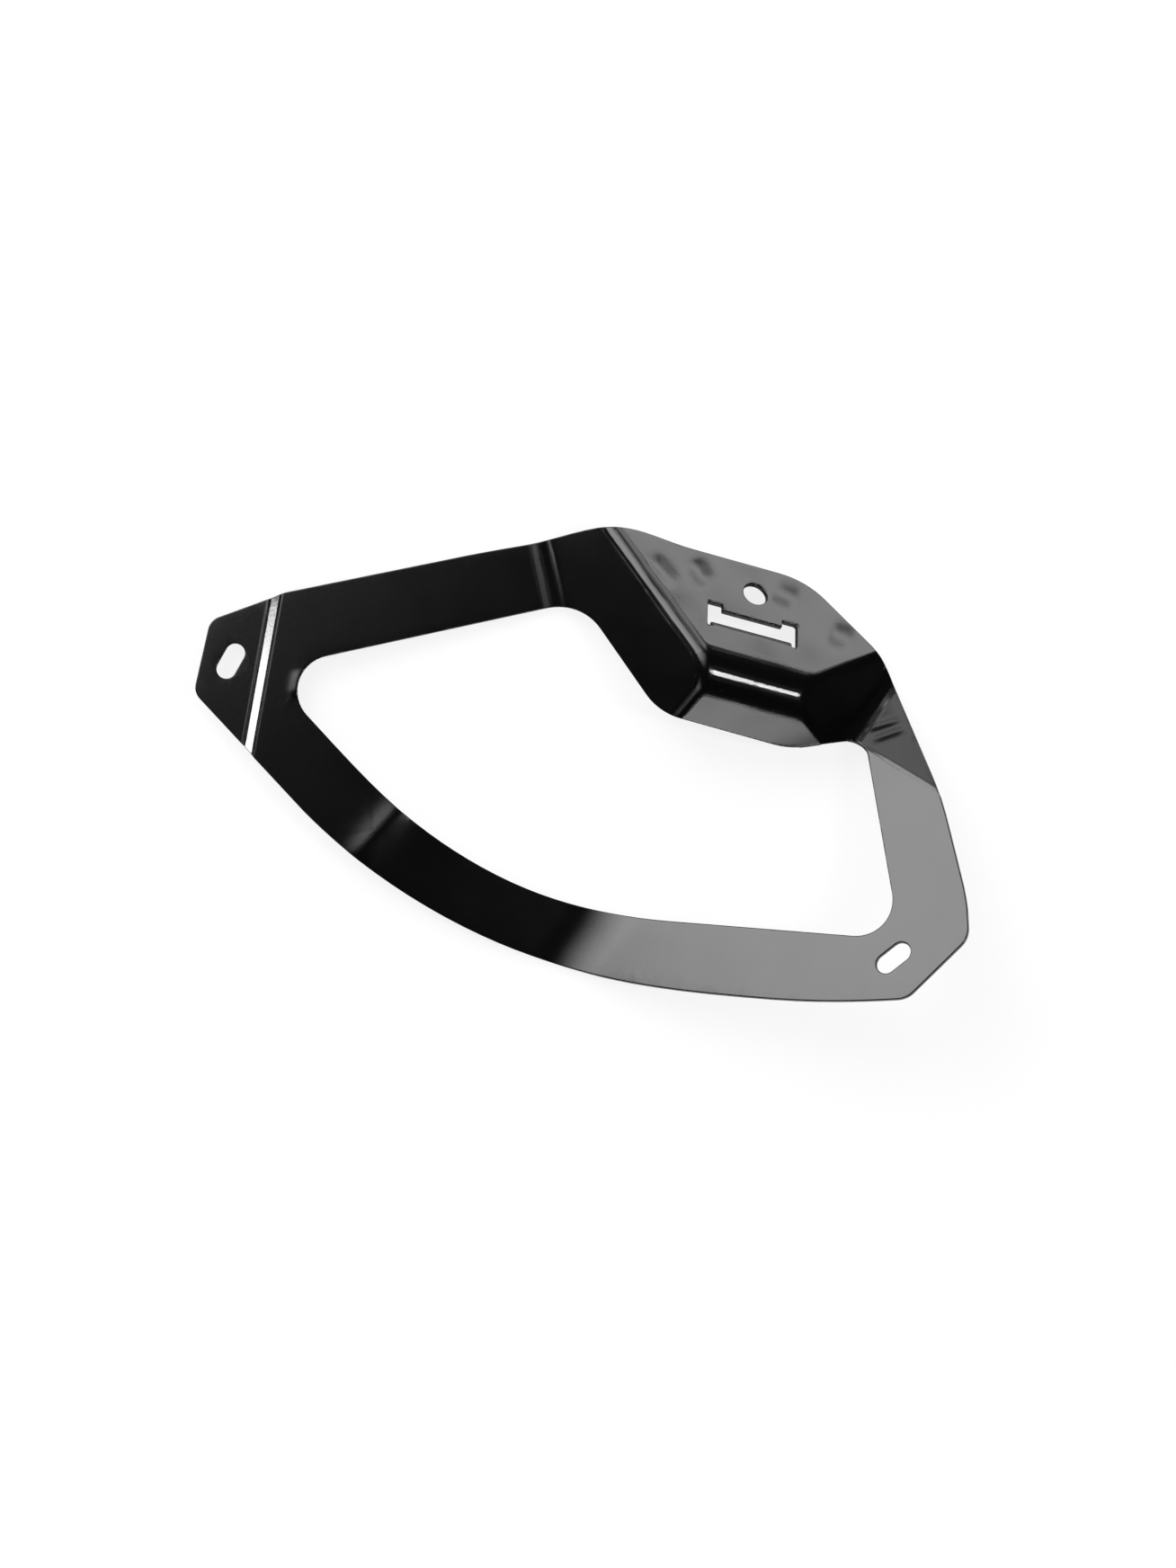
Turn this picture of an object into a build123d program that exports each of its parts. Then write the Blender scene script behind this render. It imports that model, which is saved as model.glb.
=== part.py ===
"""Front fender bracket: one steel sheet, blanked, pressed and joggled, lying on its back.

Millimetres. X runs along the long lower band, Y up toward the round hole, Z up, toward whoever
looks at the front face. The facets of the pressing are planes, each given by how far it tilts,
the bearing it leans toward (0 is +X, 90 is +Y) and one point of the front face that it passes.

The sheet is formed as over a die: facets that meet are rounded together on a block of their
own, the blocks are joined at seams that run inside a facet, and the die's upper face is then
thickened down by one sheet, so every edge stands square to the sheet.
"""
import os
from math import cos, radians, sin

from build123d import *

# Sheet
SHEET = 2.0

# Flat plate at the left, and the lower band, which leans a little the other way
PLATE_TILT = 5.0
PLATE_LEAN = 46.3
PLATE_POINT = (-65.0, 55.0, 3.5)
BAND_TILT = 7.7
BAND_LEAN = 357.4
BAND_POINT = (-43.0, -41.0, 4.2)

# Foot plate with the long slot at the lower right, and the arm that joins it to the hump
FOOT_TILT = 27.6
FOOT_LEAN = 136.4
FOOT_POINT = (104.0, -58.0, 38.9)
ARM_TILT = 31.7
ARM_LEAN = 113.5
ARM_POINT = (110.0, 13.0, 13.9)

# Pressed hump at the top right: the tab with the round hole, and its three sloping sides
TAB_TILT = 40.2
TAB_LEAN = 57.4
TAB_POINT = (59.6, 67.6, 9.8)
LEFT_SIDE_TILT = 36.4
LEFT_SIDE_LEAN = 188.9
LEFT_SIDE_POINT = (13.0, 60.0, 16.8)
RIGHT_SIDE_TILT = 38.9
RIGHT_SIDE_LEAN = 348.2
RIGHT_SIDE_POINT = (90.0, 31.0, 13.5)
BROW_TILT = 38.2
BROW_LEAN = 274.3
BROW_POINT = (56.0, 22.0, 22.9)

# Joggle that sets the ear back behind the plate
JOGGLE_TOP = (-109.8, 66.0)
JOGGLE_BOTTOM = (-119.2, 11.2)
JOGGLE_DEPTH = 3.4
JOGGLE_ANGLE = 40.0
JOGGLE_CREST_RADIUS = 2.4
JOGGLE_FOOT_RADIUS = 3.0

# Bend radii on the front face
RIDGE_RADIUS = 15.0
HUMP_RADIUS = 6.5
HUMP_ROOT_LEFT_RADIUS = 16.0
HUMP_ROOT_RIGHT_RADIUS = 8.0
ARM_CREASE_RADIUS = 3.0
BAND_CREASE_RADIUS = 30.0
BAND_BEND_RADIUS = 42.0

# Outer outline seen from above: corners with their radii, and three long curves
EAR_CORNERS = [((-109.0, 68.3), 30.0), ((-135.1, 58.6), 6.0), ((-140.8, 32.8), 6.0)]
CREST_CURVE = [(38.1, 83.7), (12.4, 91.1), (-17.7, 86.8), (-44.3, 81.8)]
BAND_CURVE = [(-101.4, -9.5), (-59.3, -42.8), (2.9, -68.3), (55.1, -74.6), (101.8, -74.6)]
FOOT_CORNERS = [((109.7, -74.0), 9.0), ((131.2, -52.9), 9.0)]
ARM_CURVE = [(131.1, -44.0), (128.2, -25.9), (121.2, 3.2)]
SHOULDER_CORNERS = [((106.2, 44.9), 36.0), ((78.4, 73.3), 36.0)]

# Window seen from above: corners with their radii, and the long curve over the band
WINDOW_CORNERS = [
    ((-115.2, 40.9), 12.7),
    ((-3.0, 65.8), 19.0),
    ((24.9, 24.9), 22.0),
    ((71.5, 12.2), 28.0),
    ((98.4, 16.1), 6.0),
    ((108.2, -53.9), 13.0),
]
WINDOW_CURVE = [(29.2, -48.8), (-19.0, -38.7), (-64.9, -11.1), (-90.6, 14.2)]

# Round hole in the tab
ROUND_HOLE = 9.0
ROUND_HOLE_SPOT = (59.6, 67.6)

# Bolt slots in the foot plate and the ear, the bearing of each as seen from above
FOOT_SLOT_LENGTH = 13.5
FOOT_SLOT_WIDTH = 7.0
FOOT_SLOT_SPOT = (105.8, -60.2)
FOOT_SLOT_BEARING = 38.5
EAR_SLOT_LENGTH = 13.5
EAR_SLOT_WIDTH = 7.0
EAR_SLOT_SPOT = (-127.7, 44.0)
EAR_SLOT_BEARING = 61.0

# Slot in the tab: two notches at its upper corners, and a lip curled back along its lower edge
TAB_SLOT_LENGTH = 34.0
TAB_SLOT_WIDTH = 7.8
TAB_SLOT_CORNER = 1.0
TAB_SLOT_SPOT = (58.1, 55.3)
TAB_SLOT_BEARING = -14.3
NOTCH_LENGTH = 5.6
NOTCH_DEPTH = 2.6
LIP_LENGTH = 30.4
LIP_BEND = 80.0
LIP_RADIUS = 3.2

# Forming blocks, and the seams where one block hands over to the next
BLOCK_LENGTH = 310.0
BLOCK_WIDTH = 240.0
BLOCK_FLOOR = -60.0
BLOCK_HEIGHT = 150.0
EAR_SEAM = -106.0
PLATE_SEAM = -45.0
BAND_SEAM = -38.0
LEFT_SIDE_SEAM = -1.0
RIGHT_SIDE_SEAM = [(79.2, 4.2), (126.4, 70.7)]
FOOT_SEAM = 80.0


def facet(tilt, lean, point):
    """Plane through the point whose normal tilts toward the bearing lean."""
    t = radians(tilt)
    b = radians(lean)
    return Plane(origin=point, z_dir=(sin(t) * cos(b), sin(t) * sin(b), cos(t)))


def seat(plane, spot, bearing=0.0):
    """The plane with its origin under the spot and its x axis along the bearing seen from above."""
    n = plane.z_dir
    o = plane.origin
    b = radians(bearing)
    level = o.Z - (n.X * (spot[0] - o.X) + n.Y * (spot[1] - o.Y)) / n.Z
    rise = -(n.X * cos(b) + n.Y * sin(b)) / n.Z
    return Plane(origin=(*spot, level), x_dir=(cos(b), sin(b), rise), z_dir=n)


def crease(one, other):
    """Test for the edge in which two planes meet."""

    def test(edge):
        spots = [edge @ 0, edge @ 0.5, edge @ 1]
        return all(abs(plane.to_local_coords(s).Z) < 0.01 for plane in (one, other) for s in spots)

    return test


# Facets of the front face
plate = facet(PLATE_TILT, PLATE_LEAN, PLATE_POINT)
band = facet(BAND_TILT, BAND_LEAN, BAND_POINT)
foot = facet(FOOT_TILT, FOOT_LEAN, FOOT_POINT)
arm = facet(ARM_TILT, ARM_LEAN, ARM_POINT)
tab = facet(TAB_TILT, TAB_LEAN, TAB_POINT)
left_side = facet(LEFT_SIDE_TILT, LEFT_SIDE_LEAN, LEFT_SIDE_POINT)
right_side = facet(RIGHT_SIDE_TILT, RIGHT_SIDE_LEAN, RIGHT_SIDE_POINT)
brow = facet(BROW_TILT, BROW_LEAN, BROW_POINT)

# The ear lies parallel to the plate; the joggle's riser turns down out of the plate's plane
ear = plate.offset(-JOGGLE_DEPTH)
crest = seat(plate, JOGGLE_TOP).origin
crest_run = seat(plate, JOGGLE_BOTTOM).origin - crest
riser = Plane(origin=crest, z_dir=plate.z_dir.rotate(Axis((0, 0, 0), crest_run), JOGGLE_ANGLE))

with BuildSketch() as outline:
    with BuildLine():
        brim = Spline(*CREST_CURVE, tangents=[(-0.97, 0.25), (-0.98, -0.20)])
        sweep = Spline(*BAND_CURVE, tangents=[(0.70, -0.71), (1.00, 0.07)])
        flank = Spline(*ARM_CURVE, tangents=[(-0.05, 1.00), (-0.34, 0.94)])
        Polyline(brim @ 1, *[spot for spot, radius in EAR_CORNERS], sweep @ 0)
        Polyline(sweep @ 1, *[spot for spot, radius in FOOT_CORNERS], flank @ 0)
        Polyline(flank @ 1, *[spot for spot, radius in SHOULDER_CORNERS], brim @ 0)
    make_face()
    for spot, radius in EAR_CORNERS + FOOT_CORNERS + SHOULDER_CORNERS:
        fillet(outline.vertices().sort_by_distance(spot)[0], radius=radius)

with BuildSketch() as window:
    with BuildLine():
        arch = Spline(*WINDOW_CURVE, tangents=[(-1.00, 0.065), (-0.68, 0.735)])
        Polyline(arch @ 1, *[spot for spot, radius in WINDOW_CORNERS], arch @ 0)
    make_face()
    for spot, radius in WINDOW_CORNERS:
        fillet(window.vertices().sort_by_distance(spot)[0], radius=radius)

block_floor = Plane.XY.offset(BLOCK_FLOOR)
west = -BLOCK_LENGTH / 2
east = BLOCK_LENGTH / 2
south = -BLOCK_WIDTH / 2
north = BLOCK_WIDTH / 2


def block(*facets):
    """A tall block cut down to the lowest of the facets."""
    with BuildPart() as piece:
        with BuildSketch(block_floor):
            Rectangle(BLOCK_LENGTH, BLOCK_WIDTH)
        extrude(amount=BLOCK_HEIGHT)
        for plane in facets:
            split(bisect_by=plane, keep=Keep.BOTTOM)
    return piece.part


def zone(*corners):
    """What stands over the blank inside a polygon of the plan."""
    with BuildPart() as piece:
        with BuildSketch(block_floor):
            add(outline.sketch)
            add(window.sketch, mode=Mode.SUBTRACT)
        extrude(amount=BLOCK_HEIGHT)
        with BuildSketch(block_floor):
            with BuildLine():
                Polyline(*corners, close=True)
            make_face()
        extrude(amount=BLOCK_HEIGHT, mode=Mode.INTERSECT)
    return piece.part


# Ear and joggle
with BuildPart() as ear_die:
    add(block(plate, riser))
    fillet(ear_die.edges().filter_by(crease(plate, riser)), radius=JOGGLE_CREST_RADIUS)
    add(block(ear))
    fillet(ear_die.edges().filter_by(crease(riser, ear)), radius=JOGGLE_FOOT_RADIUS)
    add(zone((west, south), (EAR_SEAM, south), (EAR_SEAM, north), (west, north)), mode=Mode.INTERSECT)

# Plate and the start of the band
with BuildPart() as plate_die:
    add(block(plate, band))
    fillet(plate_die.edges().filter_by(crease(plate, band)), radius=BAND_CREASE_RADIUS)
    plate_zone = zone(
        (EAR_SEAM, south),
        (BAND_SEAM, south),
        (BAND_SEAM, 0),
        (PLATE_SEAM, 0),
        (PLATE_SEAM, north),
        (EAR_SEAM, north),
    )
    add(plate_zone, mode=Mode.INTERSECT)

# Root of the hump, where the plate turns up into its left side
with BuildPart() as root_die:
    add(block(plate))
    add(block(left_side))
    fillet(root_die.edges().filter_by(crease(plate, left_side)), radius=HUMP_ROOT_LEFT_RADIUS)
    root_zone = zone((PLATE_SEAM, 0), (LEFT_SIDE_SEAM, 0), (LEFT_SIDE_SEAM, north), (PLATE_SEAM, north))
    add(root_zone, mode=Mode.INTERSECT)

# Hump: the ridge between tab and brow is rounder than the other four creases
with BuildPart() as hump_die:
    add(block(tab, left_side, right_side, brow))
    fillet(hump_die.edges().filter_by(crease(tab, brow)), radius=RIDGE_RADIUS)
    meetings = [(left_side, tab), (left_side, brow), (brow, right_side), (right_side, tab)]
    shoulders = [e for pair in meetings for e in hump_die.edges().filter_by(crease(*pair))]
    fillet(shoulders, radius=HUMP_RADIUS)
    add(zone((LEFT_SIDE_SEAM, 0), *RIGHT_SIDE_SEAM, (LEFT_SIDE_SEAM, north)), mode=Mode.INTERSECT)

# Arm and foot plate, where the hump's right side comes down on them
with BuildPart() as arm_die:
    add(block(foot, arm))
    add(block(right_side))
    valleys = [e for side in (arm, foot) for e in arm_die.edges().filter_by(crease(right_side, side))]
    fillet(valleys, radius=HUMP_ROOT_RIGHT_RADIUS)
    fillet(arm_die.edges().filter_by(crease(arm, foot)), radius=ARM_CREASE_RADIUS)
    arm_zone = zone(
        (FOOT_SEAM, south),
        (east, south),
        (east, north),
        *reversed(RIGHT_SIDE_SEAM),
        (FOOT_SEAM, 0),
    )
    add(arm_zone, mode=Mode.INTERSECT)

# Wide bend between the band and the foot plate
with BuildPart() as bend_die:
    add(block(band))
    add(block(foot))
    fillet(bend_die.edges().filter_by(crease(band, foot)), radius=BAND_BEND_RADIUS)
    add(zone((BAND_SEAM, south), (FOOT_SEAM, south), (FOOT_SEAM, 0), (BAND_SEAM, 0)), mode=Mode.INTERSECT)

with BuildPart() as die:
    for station in (ear_die, plate_die, root_die, hump_die, arm_die, bend_die):
        add(station.part)

# The die's upper face, thickened down by one sheet
front_face = Shell([face for face in die.faces() if face.normal_at().Z > 0.3])

tab_seat = seat(tab, TAB_SLOT_SPOT, TAB_SLOT_BEARING)
lip_root = tab_seat.from_local_coords((0, -TAB_SLOT_WIDTH / 2, 0))

with BuildPart() as bracket:
    add(Solid.thicken(front_face, -SHEET))

    with BuildSketch(seat(tab, ROUND_HOLE_SPOT)):
        Circle(ROUND_HOLE / 2)
    with BuildSketch(seat(foot, FOOT_SLOT_SPOT, FOOT_SLOT_BEARING)):
        SlotOverall(FOOT_SLOT_LENGTH, FOOT_SLOT_WIDTH)
    with BuildSketch(seat(ear, EAR_SLOT_SPOT, EAR_SLOT_BEARING)):
        SlotOverall(EAR_SLOT_LENGTH, EAR_SLOT_WIDTH)
    with BuildSketch(tab_seat):
        with Locations((0, NOTCH_DEPTH / 2)):
            RectangleRounded(TAB_SLOT_LENGTH, TAB_SLOT_WIDTH + NOTCH_DEPTH, TAB_SLOT_CORNER)
        with Locations((0, TAB_SLOT_WIDTH / 2 + NOTCH_DEPTH / 2)):
            Rectangle(TAB_SLOT_LENGTH - 2 * NOTCH_LENGTH, NOTCH_DEPTH, mode=Mode.SUBTRACT)
    extrude(amount=2 * SHEET, both=True, mode=Mode.SUBTRACT)

    # The lip curls back round an axis behind the slot's lower edge
    with BuildSketch(Plane(origin=lip_root, x_dir=tab_seat.x_dir, z_dir=-tab_seat.y_dir)):
        with Locations((0, -SHEET / 2)):
            Rectangle(LIP_LENGTH, SHEET)
    pivot = tab_seat.from_local_coords((0, -TAB_SLOT_WIDTH / 2, -LIP_RADIUS))
    revolve(axis=Axis(pivot, tab_seat.x_dir), revolution_arc=-LIP_BEND)

# Stand it on the table with the origin under the middle of its box
box = bracket.part.bounding_box()
middle = box.center()
bracket.part = Pos(-middle.X, -middle.Y, -box.min.Z) * bracket.part
bracket.part.label = "fender_bracket"

os.makedirs("parts", exist_ok=True)
export_step(bracket.part, "parts/fender_bracket.step")
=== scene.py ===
"""Front fender bracket: black gloss paint on the pressed sheet, lying on its back on a pale table.

Metres. X runs along the lower band, Y up toward the round hole, Z up out of the front face.
"""
from math import cos, exp, pi, radians, sin, tanh

import bmesh
import bpy
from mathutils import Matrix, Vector, noise
from mathutils.bvhtree import BVHTree


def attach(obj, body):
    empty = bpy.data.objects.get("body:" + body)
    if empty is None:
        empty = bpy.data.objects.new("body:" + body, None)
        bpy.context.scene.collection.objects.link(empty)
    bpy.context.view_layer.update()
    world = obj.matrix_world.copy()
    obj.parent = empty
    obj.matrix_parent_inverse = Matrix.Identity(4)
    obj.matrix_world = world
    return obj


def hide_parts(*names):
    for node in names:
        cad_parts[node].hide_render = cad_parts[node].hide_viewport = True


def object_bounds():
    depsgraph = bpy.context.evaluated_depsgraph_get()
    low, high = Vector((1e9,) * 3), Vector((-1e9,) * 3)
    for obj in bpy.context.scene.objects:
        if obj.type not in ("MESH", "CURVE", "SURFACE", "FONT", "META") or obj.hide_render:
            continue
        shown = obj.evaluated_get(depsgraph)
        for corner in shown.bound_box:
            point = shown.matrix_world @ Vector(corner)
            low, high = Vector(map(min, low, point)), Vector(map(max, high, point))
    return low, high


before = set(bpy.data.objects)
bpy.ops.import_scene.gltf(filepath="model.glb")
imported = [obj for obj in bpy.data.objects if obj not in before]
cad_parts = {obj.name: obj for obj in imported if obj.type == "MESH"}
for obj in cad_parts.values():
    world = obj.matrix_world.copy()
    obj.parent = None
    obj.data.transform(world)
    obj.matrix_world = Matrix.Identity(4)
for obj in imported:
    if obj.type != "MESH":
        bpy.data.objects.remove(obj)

bl_info = {
    "name": "Front fender bracket",
    "version": (1, 0, 0),
    "blender": (4, 5, 0),
    "location": "3D View > Sidebar > Bracket",
    "description": "Paints the pressed bracket and sets up its table, lamps and camera",
    "category": "Object",
}

LOW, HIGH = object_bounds()
SHEET_NODE = "fender_bracket"
MIDDLE = (Vector(LOW) + Vector(HIGH)) / 2

# Copy of the solid's mesh. Points closer than WELD are one point, faces that lean apart by less
# than FLAT_ANGLE are one face, and edges that turn by more than SHARP_ANGLE are cut edges, which
# are rounded. A face whose normal rises by less than WALL_RISE belongs to the cut edge.
WELD = 1e-6
FLAT_ANGLE = radians(0.3)
SHARP_ANGLE = radians(50)
ROUNDING_STEPS = 3
WALL_RISE = 0.3

# Soft marks that the press left, seen from above. Each row holds place x and y, half length,
# half width, bearing in degrees, and height, which is below zero for a dent.
MARKS = (
    # Two dents and a fine wrinkle at the left end of the tab, two dents at its right end
    (0.0307, 0.0678, 0.0060, 0.0022, -50.0, -0.00036),
    (0.0440, 0.0675, 0.0048, 0.0024, -60.0, -0.00038),
    (0.0288, 0.0624, 0.0052, 0.0010, -53.0, -0.00010),
    (0.0746, 0.0599, 0.0045, 0.0026, -20.0, -0.00034),
    (0.0946, 0.0452, 0.0042, 0.0030, -15.0, -0.00038),
    # Two fine wrinkles and a dent at the top of the arm
    (0.1096, 0.0137, 0.0058, 0.0009, 17.0, -0.00020),
    (0.1112, 0.0102, 0.0056, 0.0009, 20.0, -0.00020),
    (0.1060, 0.0185, 0.0060, 0.0030, 30.0, -0.00034),
    # Raised rim at the window's left corner
    (-0.0994, 0.0282, 0.0042, 0.0014, 80.0, 0.00040),
    # Low crest across the band
    (-0.0695, -0.0246, 0.0140, 0.0036, 48.5, 0.00078),
)

# Beyond so many half lengths and half widths a mark has no height left
MARK_END = 2.2
MARK_SIDE = 3.2

# Small step across the arm, in a row like a mark's. Its raised side sinks back over STEP_FADE
# half widths and is gone after three times as many.
STEP = (0.1164, -0.0034, 0.0150, 0.0008, -32.6, 0.00040)
STEP_FADE = 14.0
STEP_SIDE = 3 * STEP_FADE

# Faint random waviness round the tab and the top of the arm. It is gone beyond WAVY_END radii.
WAVY_MIDDLE = (0.062, 0.052)
WAVY_RADIUS = 0.045
WAVY_END = 1.6
WAVE_LENGTH = 0.012
WAVE_HEIGHT = 0.00018

# The mesh is finer near a mark, counted in its half lengths and half widths, and in the waviness,
# counted in its radii. An edge over OVERLONG times its cell is split, in so many rounds at most.
FINE_END = 1.6
FINE_SIDE = 3.5
FINE_SHARE = 0.6
FINE_WAVY = 1.3
WAVY_CELL = 0.0016
OVERLONG = 1.3
SPLIT_ROUNDS = 9

# Patterns in the paint, in waves a metre, and the noise between which bare specks begin and end
GRIT_SCALE = 1400.0
CLOUD_SCALE = 60.0
SPECK_FROM = 0.60
SPECK_FULL = 0.72


class PaintSizes(bpy.types.PropertyGroup):
    color: bpy.props.FloatVectorProperty(
        name="Paint colour",
        description="Colour of the black paint under its gloss",
        default=(0.002, 0.002, 0.0022),
        subtype="COLOR",
        min=0.0,
        max=1.0,
    )
    roughness: bpy.props.FloatProperty(
        name="Gloss roughness",
        description="How much the paint blurs what it mirrors",
        default=0.16,
        min=0.0,
        max=1.0,
        subtype="FACTOR",
    )
    cloudiness: bpy.props.FloatProperty(
        name="Cloudiness",
        description="How far the gloss roughness drifts either way over the faces",
        default=0.03,
        min=0.0,
        max=0.1,
        subtype="FACTOR",
    )
    peel: bpy.props.FloatProperty(
        name="Orange peel size",
        description="Distance between the small waves in the paint",
        default=0.0012,
        min=0.0001,
        unit="LENGTH",
        subtype="DISTANCE",
    )
    peel_height: bpy.props.FloatProperty(
        name="Orange peel height",
        description="Height of the small waves in the paint",
        default=0.000012,
        precision=6,
        unit="LENGTH",
        subtype="DISTANCE",
    )
    steel: bpy.props.FloatVectorProperty(
        name="Bare specks",
        description="Colour of the steel that shows in specks through the paint of the cut edge",
        default=(0.10, 0.10, 0.10),
        subtype="COLOR",
        min=0.0,
        max=1.0,
    )
    dullness: bpy.props.FloatProperty(
        name="Cut edge dullness",
        description="How much rougher the thin paint of the cut edge is",
        default=0.22,
        min=0.0,
        max=0.8,
        subtype="FACTOR",
    )
    marks: bpy.props.FloatProperty(
        name="Press marks",
        description="How deep the soft marks of the press are, as a share of their built depth",
        default=1.0,
        min=0.0,
        max=2.0,
        subtype="FACTOR",
    )
    cell: bpy.props.FloatProperty(
        name="Mesh cell",
        description="Edge length of the mesh away from the press marks",
        default=0.005,
        min=0.001,
        unit="LENGTH",
        subtype="DISTANCE",
    )
    edge: bpy.props.FloatProperty(
        name="Edge rounding",
        description="Radius that the tumbled and painted edge of the sheet has",
        default=0.00040,
        unit="LENGTH",
        subtype="DISTANCE",
    )


class StudioSizes(bpy.types.PropertyGroup):
    camera_height: bpy.props.FloatProperty(
        name="Camera height",
        description="Height of the camera over the table",
        default=1.2032,
        unit="LENGTH",
        subtype="DISTANCE",
    )
    camera_x: bpy.props.FloatProperty(
        name="Camera across",
        description="Place of the camera along the band",
        default=0.00428,
        unit="LENGTH",
        subtype="DISTANCE",
    )
    camera_y: bpy.props.FloatProperty(
        name="Camera along",
        description="Place of the camera from the band toward the tab",
        default=-0.00757,
        unit="LENGTH",
        subtype="DISTANCE",
    )
    lens: bpy.props.FloatProperty(
        name="Lens",
        description="Focal length on a frame 36 mm wide",
        default=102.4,
        unit="CAMERA",
    )
    floor_color: bpy.props.FloatVectorProperty(
        name="Table colour",
        description="Colour of the plain pale table",
        default=(0.95, 0.95, 0.95),
        subtype="COLOR",
        min=0.0,
        max=1.0,
    )
    floor_white: bpy.props.FloatProperty(
        name="Table whiteness",
        description="Share of plain white in the table as the camera sees it",
        default=0.82,
        min=0.0,
        max=1.0,
        subtype="FACTOR",
    )
    fill: bpy.props.FloatProperty(
        name="Fill light",
        description="Strength of the even light from all round",
        default=0.5,
        min=0.0,
    )


def node(tree, kind, **inputs):
    """A shader node with its inputs set by name."""
    made = tree.nodes.new(kind)
    for name, value in inputs.items():
        made.inputs[name.replace("_", " ")].default_value = value
    return made


def link(tree, source, target):
    tree.links.new(source, target)


def maths(tree, operation, *values):
    """Result of a Math node whose inputs are sockets or plain numbers."""
    made = tree.nodes.new("ShaderNodeMath")
    made.operation = operation
    for socket, value in zip(made.inputs, values):
        if isinstance(value, float):
            socket.default_value = value
        else:
            link(tree, value, socket)
    return made.outputs["Value"]


def blank_material(name):
    """A material, its tree, and the surface input of the one node in it."""
    material = bpy.data.materials.new(name)
    material.use_nodes = True
    tree = material.node_tree
    tree.nodes.clear()
    output = tree.nodes.new("ShaderNodeOutputMaterial")
    return material, tree, output.inputs["Surface"]


def flat_mesh(name, corners):
    """A mesh of one face."""
    mesh = bpy.data.meshes.new(name)
    mesh.from_pydata(corners, [], [tuple(range(len(corners)))])
    return mesh


def paint_material(sizes):
    """Black gloss paint with orange peel, thinner and duller on the cut edge of the sheet."""
    material, tree, surface = blank_material("black_gloss_paint")
    paint = tree.nodes.new("ShaderNodeBsdfPrincipled")
    link(tree, paint.outputs["BSDF"], surface)
    place = tree.nodes.new("ShaderNodeTexCoord")

    # The cut edge holds less paint, so steel shows through it as fine specks
    wall = tree.nodes.new("ShaderNodeAttribute")
    wall.attribute_name = "cut_edge"
    grit = node(tree, "ShaderNodeTexNoise", Scale=GRIT_SCALE, Detail=3.0)
    link(tree, place.outputs["Object"], grit.inputs["Vector"])
    specks = node(tree, "ShaderNodeMapRange", From_Min=SPECK_FROM, From_Max=SPECK_FULL)
    link(tree, grit.outputs["Fac"], specks.inputs["Value"])
    bare = maths(tree, "MULTIPLY", wall.outputs["Fac"], specks.outputs["Result"])
    color = tree.nodes.new("ShaderNodeMix")
    color.data_type = "RGBA"
    color.inputs["A"].default_value = (*sizes.color, 1.0)
    color.inputs["B"].default_value = (*sizes.steel, 1.0)
    link(tree, bare, color.inputs["Factor"])
    link(tree, color.outputs["Result"], paint.inputs["Base Color"])

    # Gloss: even on the faces with faint cloudiness, duller on the cut edge
    cloud = node(tree, "ShaderNodeTexNoise", Scale=CLOUD_SCALE, Detail=3.0)
    link(tree, place.outputs["Object"], cloud.inputs["Vector"])
    gloss = node(
        tree,
        "ShaderNodeMapRange",
        To_Min=sizes.roughness - sizes.cloudiness,
        To_Max=sizes.roughness + sizes.cloudiness,
    )
    link(tree, cloud.outputs["Fac"], gloss.inputs["Value"])
    rough = maths(
        tree, "MULTIPLY_ADD", wall.outputs["Fac"], sizes.dullness, gloss.outputs["Result"]
    )
    link(tree, rough, paint.inputs["Roughness"])

    # Orange peel
    peel = node(tree, "ShaderNodeTexNoise", Scale=1.0 / sizes.peel, Detail=2.0)
    link(tree, place.outputs["Object"], peel.inputs["Vector"])
    skin = node(tree, "ShaderNodeBump", Strength=1.0, Distance=sizes.peel_height)
    link(tree, peel.outputs["Fac"], skin.inputs["Height"])
    link(tree, skin.outputs["Normal"], paint.inputs["Normal"])
    return material


def place_on_mark(mark, x, y):
    """A place seen from above, in the half lengths and half widths of a mark."""
    middle_x, middle_y, half_length, half_width, bearing = mark[:5]
    b = radians(bearing)
    u = ((x - middle_x) * cos(b) + (y - middle_y) * sin(b)) / half_length
    v = ((y - middle_y) * cos(b) - (x - middle_x) * sin(b)) / half_width
    return u, v


def radii_from_wavy(x, y):
    """How far a place seen from above is from the middle of the waviness, in its radii."""
    return ((x - WAVY_MIDDLE[0]) ** 2 + (y - WAVY_MIDDLE[1]) ** 2) ** 0.5 / WAVY_RADIUS


def mark_height(x, y):
    """How far the press marks lift the sheet at a place seen from above."""
    height = 0.0
    for mark in MARKS:
        u, v = place_on_mark(mark, x, y)
        if abs(u) < MARK_END and abs(v) < MARK_SIDE:
            height += mark[5] * exp(-(u**4) - v * v / 2)
    u, v = place_on_mark(STEP, x, y)
    if abs(u) < MARK_END and abs(v) < STEP_SIDE:
        height += STEP[5] * (1 + tanh(v)) / 2 * exp(-(u**4) - (v / STEP_FADE) ** 2)
    away = radii_from_wavy(x, y)
    if away < WAVY_END:
        wave = noise.noise(Vector((x, y, 0.0)) / WAVE_LENGTH)
        height += WAVE_HEIGHT * exp(-(away**4)) * wave
    return height


def cell_size(x, y, widest):
    """Mesh edge wanted at a place seen from above: short where a mark is narrow."""
    size = widest
    for mark in (*MARKS, STEP):
        u, v = place_on_mark(mark, x, y)
        if abs(u) < FINE_END and abs(v) < FINE_SIDE:
            size = min(size, FINE_SHARE * mark[3])
    if radii_from_wavy(x, y) < FINE_WAVY:
        size = min(size, WAVY_CELL)
    return size


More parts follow.
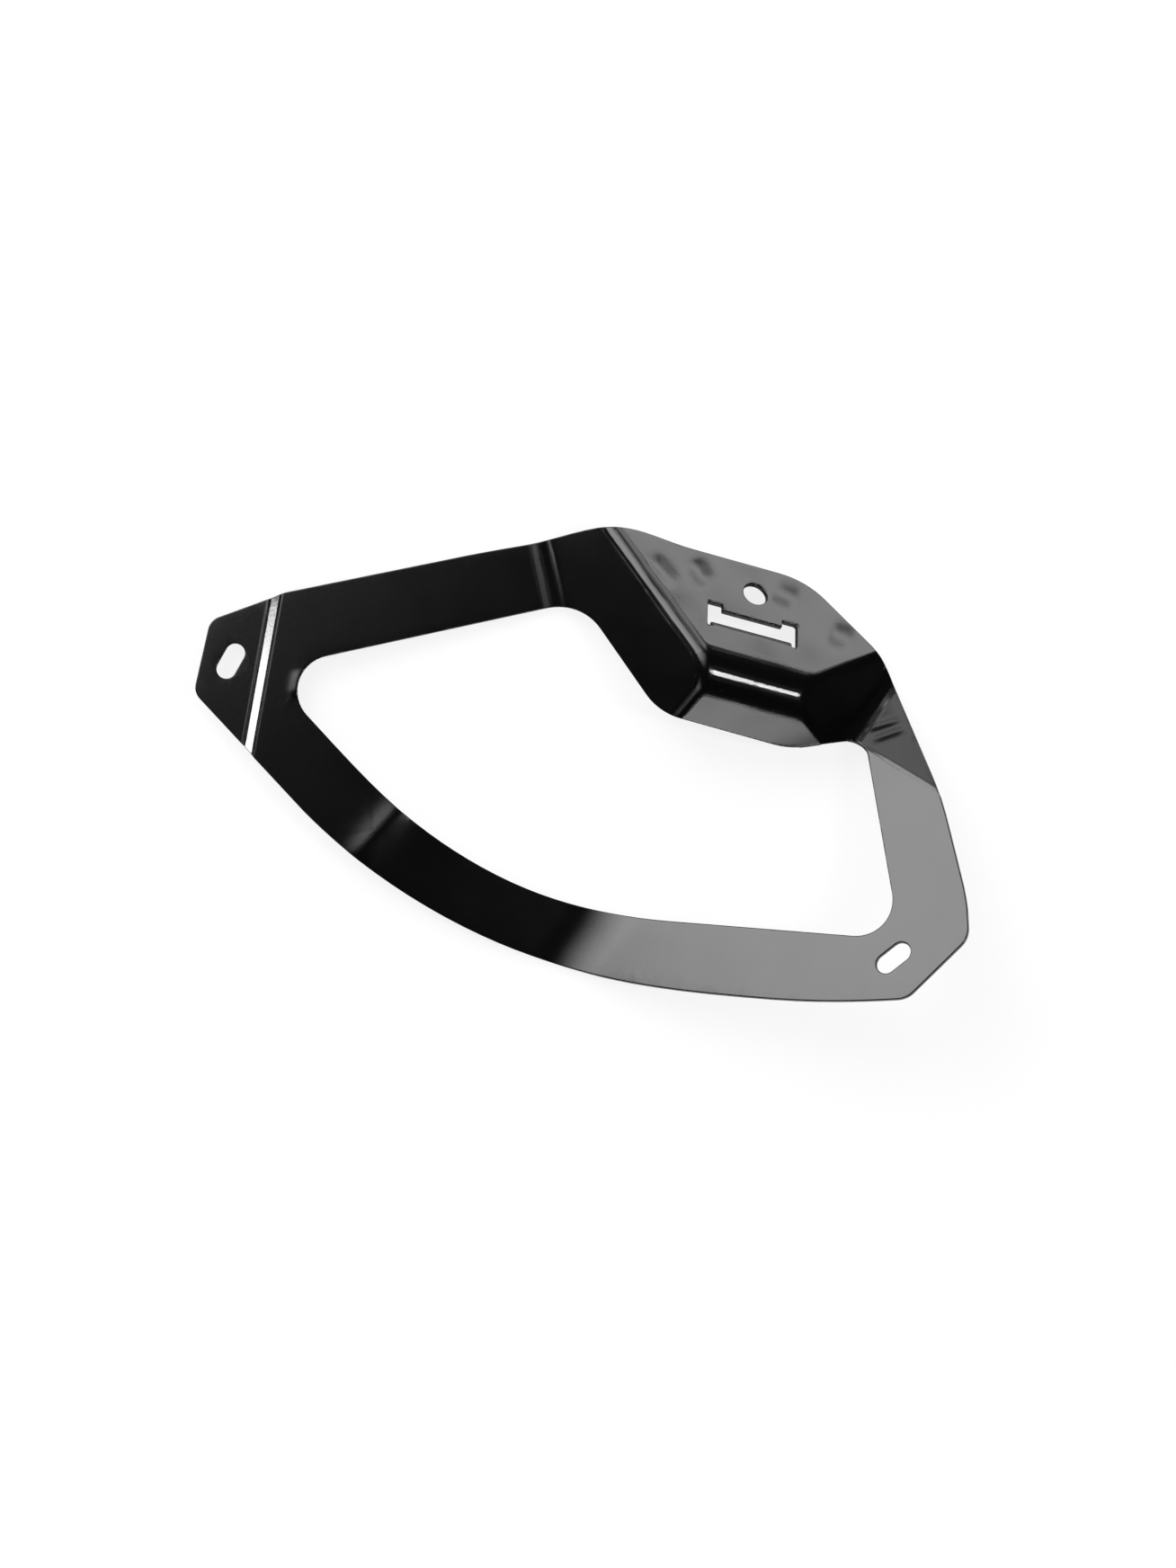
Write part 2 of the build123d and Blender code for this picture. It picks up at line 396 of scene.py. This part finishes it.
def round_cut_edges(work, radius):
    """Rounds the sharp edges of the sheet."""
    skin = BVHTree.FromBMesh(work)
    bmesh.ops.dissolve_limit(
        work, angle_limit=FLAT_ANGLE, verts=work.verts, edges=work.edges, delimit={"NORMAL"}
    )
    sharp = [e for e in work.edges if e.is_manifold and e.calc_face_angle() > SHARP_ANGLE]
    bmesh.ops.bevel(
        work,
        geom=sharp,
        offset=radius,
        offset_type="OFFSET",
        segments=ROUNDING_STEPS,
        profile=0.5,
        affect="EDGES",
        clamp_overlap=False,
    )
    # At a few corners the rounding throws a point off the sheet, so such a point goes back to it
    for vertex in work.verts:
        nearest, _, _, away = skin.find_nearest(vertex.co)
        if away > radius:
            vertex.co = nearest


def refine(work, widest):
    """Splits long edges until the mesh can carry the press marks."""
    for _ in range(SPLIT_ROUNDS):
        long_edges = []
        for edge in work.edges:
            middle = (edge.verts[0].co + edge.verts[1].co) / 2
            if edge.calc_length() > OVERLONG * cell_size(middle.x, middle.y, widest):
                long_edges.append(edge)
        if not long_edges:
            break
        bmesh.ops.subdivide_edges(work, edges=long_edges, cuts=1)
        many_sided = [face for face in work.faces if len(face.verts) > 3]
        bmesh.ops.triangulate(work, faces=many_sided, quad_method="BEAUTY", ngon_method="BEAUTY")


def shade_faces(work):
    """Shades every face smooth, and writes 1 on the faces of the cut edge and 0 on the others."""
    wall = work.faces.layers.float.new("cut_edge")
    work.normal_update()
    for face in work.faces:
        face.smooth = True
        face[wall] = 1.0 if abs(face.normal.z) < WALL_RISE else 0.0


class BRACKET_OT_sheet(bpy.types.Operator):
    """Marks and paints the pressed sheet, and rounds its cut edges"""

    bl_idname = "bracket.sheet"
    bl_label = "Painted sheet"

    def execute(self, context):
        sizes = context.scene.bracket_paint
        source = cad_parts[SHEET_NODE]
        mesh = source.data.copy()
        mesh.name = "bracket_sheet"
        sheet = bpy.data.objects.new("bracket_sheet", mesh)
        context.scene.collection.objects.link(sheet)

        work = bmesh.new()
        work.from_mesh(mesh)
        work.transform(source.matrix_world)
        bmesh.ops.remove_doubles(work, verts=work.verts, dist=WELD)
        round_cut_edges(work, sizes.edge)
        refine(work, sizes.cell)
        shade_faces(work)
        for vertex in work.verts:
            vertex.co.z += sizes.marks * mark_height(vertex.co.x, vertex.co.y)
        work.to_mesh(mesh)
        work.free()

        # Normals follow the large faces, so that the small ones of the rounding don't bend them
        even = sheet.modifiers.new("shading", "WEIGHTED_NORMAL")
        even.keep_sharp = False
        even.weight = 80

        mesh.materials.clear()
        mesh.materials.append(paint_material(sizes))
        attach(sheet, "root")
        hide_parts(SHEET_NODE)
        return {"FINISHED"}


def stand_unseen(card):
    """Puts a card in the scene that mirrors show and the camera doesn't."""
    card.visible_camera = False
    card.visible_shadow = False
    bpy.context.scene.collection.objects.link(card)


def panel(name, spot, facing, width, height, radiance, fade):
    """A soft panel that glows.

    fade is how far the glow takes to come up from the left, right, lower and upper edge, as
    shares of the panel.
    """
    side = Vector((facing[1], -facing[0], 0)).normalized() * width / 2
    rise = side.cross(Vector(facing)).normalized() * height / 2
    middle = Vector(spot)
    corners = [
        middle - side - rise,
        middle + side - rise,
        middle + side + rise,
        middle - side + rise,
    ]
    mesh = flat_mesh(name, corners)
    spread = mesh.uv_layers.new(name="spread")
    for loop, uv in zip(spread.data, ((0, 0), (1, 0), (1, 1), (0, 1))):
        loop.uv = uv

    material, tree, surface = blank_material(name)
    glow = tree.nodes.new("ShaderNodeEmission")
    place = tree.nodes.new("ShaderNodeUVMap")
    place.uv_map = "spread"
    split = tree.nodes.new("ShaderNodeSeparateXYZ")
    link(tree, place.outputs["UV"], split.inputs["Vector"])
    level = radiance
    for axis, start, end in (
        ("X", 0.0, fade[0]),
        ("X", 1.0, 1.0 - fade[1]),
        ("Y", 0.0, fade[2]),
        ("Y", 1.0, 1.0 - fade[3]),
    ):
        step = node(
            tree,
            "ShaderNodeMapRange",
            From_Min=min(start, end),
            From_Max=max(start, end),
            To_Min=0.0 if start < end else 1.0,
            To_Max=1.0 if start < end else 0.0,
        )
        step.interpolation_type = "SMOOTHSTEP"
        link(tree, split.outputs[axis], step.inputs["Value"])
        level = maths(tree, "MULTIPLY", step.outputs["Result"], level)
    link(tree, level, glow.inputs["Strength"])
    link(tree, glow.outputs["Emission"], surface)
    mesh.materials.append(material)
    stand_unseen(bpy.data.objects.new(name, mesh))


def lamp(name, spot, target, length, width, radiance):
    """A small oval lamp that faces the target, its length level."""
    light = bpy.data.lights.new(name, "AREA")
    light.shape = "ELLIPSE"
    light.size = length
    light.size_y = width
    # Watts of an area lamp: its radiance times pi times the area of its oval
    light.energy = radiance * pi * pi * length * width / 4
    made = bpy.data.objects.new(name, light)
    made.location = spot
    made.rotation_euler = (Vector(target) - Vector(spot)).to_track_quat("-Z", "Y").to_euler()
    made.visible_camera = False
    bpy.context.scene.collection.objects.link(made)


def black_card(name, corners):
    """A black card that only mirrors show."""
    card = bpy.data.objects.new(name, flat_mesh(name, corners))
    card.visible_diffuse = False
    material = bpy.data.materials.get("black_card") or bpy.data.materials.new("black_card")
    material.use_nodes = True
    shade = material.node_tree.nodes["Principled BSDF"]
    shade.inputs["Base Color"].default_value = (0.0, 0.0, 0.0, 1.0)
    shade.inputs["Specular IOR Level"].default_value = 0.0
    card.data.materials.append(material)
    stand_unseen(card)


def toward(bearing, from_zenith, distance):
    """Point at a distance from the bracket, by bearing and angle from straight up."""
    b = radians(bearing)
    z = radians(from_zenith)
    return MIDDLE + distance * Vector((sin(z) * cos(b), sin(z) * sin(b), cos(z)))


def make_table(scene, sizes):
    """Table: its own colour plus, for the camera, a share of plain white."""
    reach = 6.0
    corners = [(-reach, -reach, 0), (reach, -reach, 0), (reach, reach, 0), (-reach, reach, 0)]
    mesh = flat_mesh("table_top", corners)
    table = bpy.data.objects.new("table_top", mesh)
    scene.collection.objects.link(table)
    material, tree, surface = blank_material("pale_table")
    cloth = node(tree, "ShaderNodeBsdfDiffuse", Color=(*sizes.floor_color, 1.0))
    white = tree.nodes.new("ShaderNodeEmission")
    path = tree.nodes.new("ShaderNodeLightPath")
    share = maths(tree, "MULTIPLY", path.outputs["Is Camera Ray"], sizes.floor_white)
    mix = tree.nodes.new("ShaderNodeMixShader")
    link(tree, share, mix.inputs["Fac"])
    link(tree, cloth.outputs["BSDF"], mix.inputs[1])
    link(tree, white.outputs["Emission"], mix.inputs[2])
    link(tree, mix.outputs["Shader"], surface)
    mesh.materials.append(material)


def make_world(scene, sizes):
    """World: white to the camera and in mirrors, dimmer as fill light."""
    world = bpy.data.worlds.new("studio")
    scene.world = world
    world.use_nodes = True
    tree = world.node_tree
    tree.nodes.clear()
    output = tree.nodes.new("ShaderNodeOutputWorld")
    shown = node(tree, "ShaderNodeBackground", Color=(1, 1, 1, 1))
    fill = node(tree, "ShaderNodeBackground", Color=(1, 1, 1, 1), Strength=sizes.fill)
    path = tree.nodes.new("ShaderNodeLightPath")
    direct = maths(tree, "MAXIMUM", path.outputs["Is Camera Ray"], path.outputs["Is Glossy Ray"])
    seen = maths(tree, "MAXIMUM", direct, path.outputs["Is Transmission Ray"])
    mix = tree.nodes.new("ShaderNodeMixShader")
    link(tree, seen, mix.inputs["Fac"])
    link(tree, fill.outputs["Background"], mix.inputs[1])
    link(tree, shown.outputs["Background"], mix.inputs[2])
    link(tree, mix.outputs["Shader"], output.inputs["Surface"])


def make_panels():
    """Soft panels, each where one of the leaning facets mirrors it."""
    # Foot plate and arm: a tall panel, moved along its own plane from where its bearing puts it
    bearing = 134
    middle = toward(bearing, 42, 2.0)
    across = Vector((sin(radians(bearing)), -cos(radians(bearing)), 0))
    foot = toward(bearing, -48, 0.25) - MIDDLE + middle + 0.74 * across
    panel("panel_foot", foot, MIDDLE - middle, 2.32, 2.5, 7.4, (0.78, 0.13, 0.26, 0.72))
    # Crease at the tab's left end, top of the arm, tab, brow, and the joggle's riser
    to_near, to_far, to_right = (0, -1, 0), (0, 1, 0), (1, 0, 0)
    panel("panel_far", (0.42, 1.60, 0.93), to_near, 1.2, 1.3, 3.2, (0.12, 0.55, 0.08, 0.5))
    panel("panel_arm", (-0.42, 1.60, 0.88), to_near, 0.9, 0.8, 2.6, (0.45, 0.45, 0.45, 0.45))
    panel("panel_tab", (1.10, 1.60, 0.20), to_near, 1.1, 0.38, 4.6, (0.2, 0.2, 0.02, 0.35))
    panel("panel_brow", (0.28, -1.60, 0.40), to_far, 0.9, 0.44, 4.6, (0.2, 0.2, 0.2, 0.25))
    panel("panel_joggle", (-1.30, 0.28, 0.20), to_right, 0.28, 0.36, 32.0, (0.1, 0.1, 0.1, 0.5))
    # A dim panel where the view from above mirrors little, for the other sides
    back = toward(222, 48, 1.7)
    panel("panel_back", back, MIDDLE - back, 1.0, 0.7, 1.8, (0.4, 0.4, 0.4, 0.4))


def make_cards():
    """Black cards overhead and on all four sides, which keep the level and side facets dark."""
    wide, deep, high = 3.2, 1.8, 2.9
    end = 1.75
    overhead = ((-wide, -deep), (wide, -deep), (wide, deep), (-wide, deep))
    black_card("card_top", [(x, y, high) for x, y in overhead])
    for name, x in (("card_left", -wide), ("card_right", wide)):
        black_card(name, [(x, -deep, 0), (x, deep, 0), (x, deep, high), (x, -deep, high)])
    for name, y in (("card_far", end), ("card_near", -end)):
        black_card(name, [(-wide, y, 0), (wide, y, 0), (wide, y, high), (-wide, y, high)])


def make_camera(scene, sizes):
    """Camera straight above, as in the photograph."""
    eye = bpy.data.cameras.new("camera")
    eye.sensor_fit = "HORIZONTAL"
    eye.sensor_width = 36.0
    eye.lens = sizes.lens
    eye.clip_end = 50.0
    camera = bpy.data.objects.new("camera", eye)
    camera.location = (sizes.camera_x, sizes.camera_y, sizes.camera_height)
    camera.rotation_euler = (0, 0, 0)
    scene.collection.objects.link(camera)
    scene.camera = camera


class BRACKET_OT_stage(bpy.types.Operator):
    """Sets the table, the world, the panels, the lamps, the black cards and the camera"""

    bl_idname = "bracket.stage"
    bl_label = "Table, lamps and camera"

    def execute(self, context):
        sizes = context.scene.bracket_studio
        scene = context.scene
        scene.view_settings.view_transform = "Standard"
        make_table(scene, sizes)
        make_world(scene, sizes)
        make_panels()
        # Small lamps: one mirrored along the hump's ridge, one for the joggle's bends
        lamp("lamp_ridge", (0.80, -0.09, 1.31), (0.05, 0.04, 0.03), 0.09, 0.42, 44.0)
        lamp("lamp_joggle", (-0.345, 0.10, 0.26), (-0.11, 0.03, 0.01), 0.10, 0.03, 6.0)
        make_cards()
        make_camera(scene, sizes)
        return {"FINISHED"}


class BRACKET_PT_panel(bpy.types.Panel):
    bl_idname = "BRACKET_PT_panel"
    bl_label = "Front fender bracket"
    bl_space_type = "VIEW_3D"
    bl_region_type = "UI"
    bl_category = "Bracket"

    def draw(self, context):
        layout = self.layout
        for group, operator in (
            (context.scene.bracket_paint, "bracket.sheet"),
            (context.scene.bracket_studio, "bracket.stage"),
        ):
            box = layout.box()
            for name in group.__annotations__:
                box.prop(group, name)
            box.operator(operator)


CLASSES = (PaintSizes, StudioSizes, BRACKET_OT_sheet, BRACKET_OT_stage, BRACKET_PT_panel)


def register():
    for cls in CLASSES:
        bpy.utils.register_class(cls)
    bpy.types.Scene.bracket_paint = bpy.props.PointerProperty(type=PaintSizes)
    bpy.types.Scene.bracket_studio = bpy.props.PointerProperty(type=StudioSizes)


def unregister():
    del bpy.types.Scene.bracket_studio
    del bpy.types.Scene.bracket_paint
    for cls in reversed(CLASSES):
        bpy.utils.unregister_class(cls)


def main():
    register()
    bpy.ops.bracket.sheet()
    bpy.ops.bracket.stage()


if __name__ == "__main__":
    main()
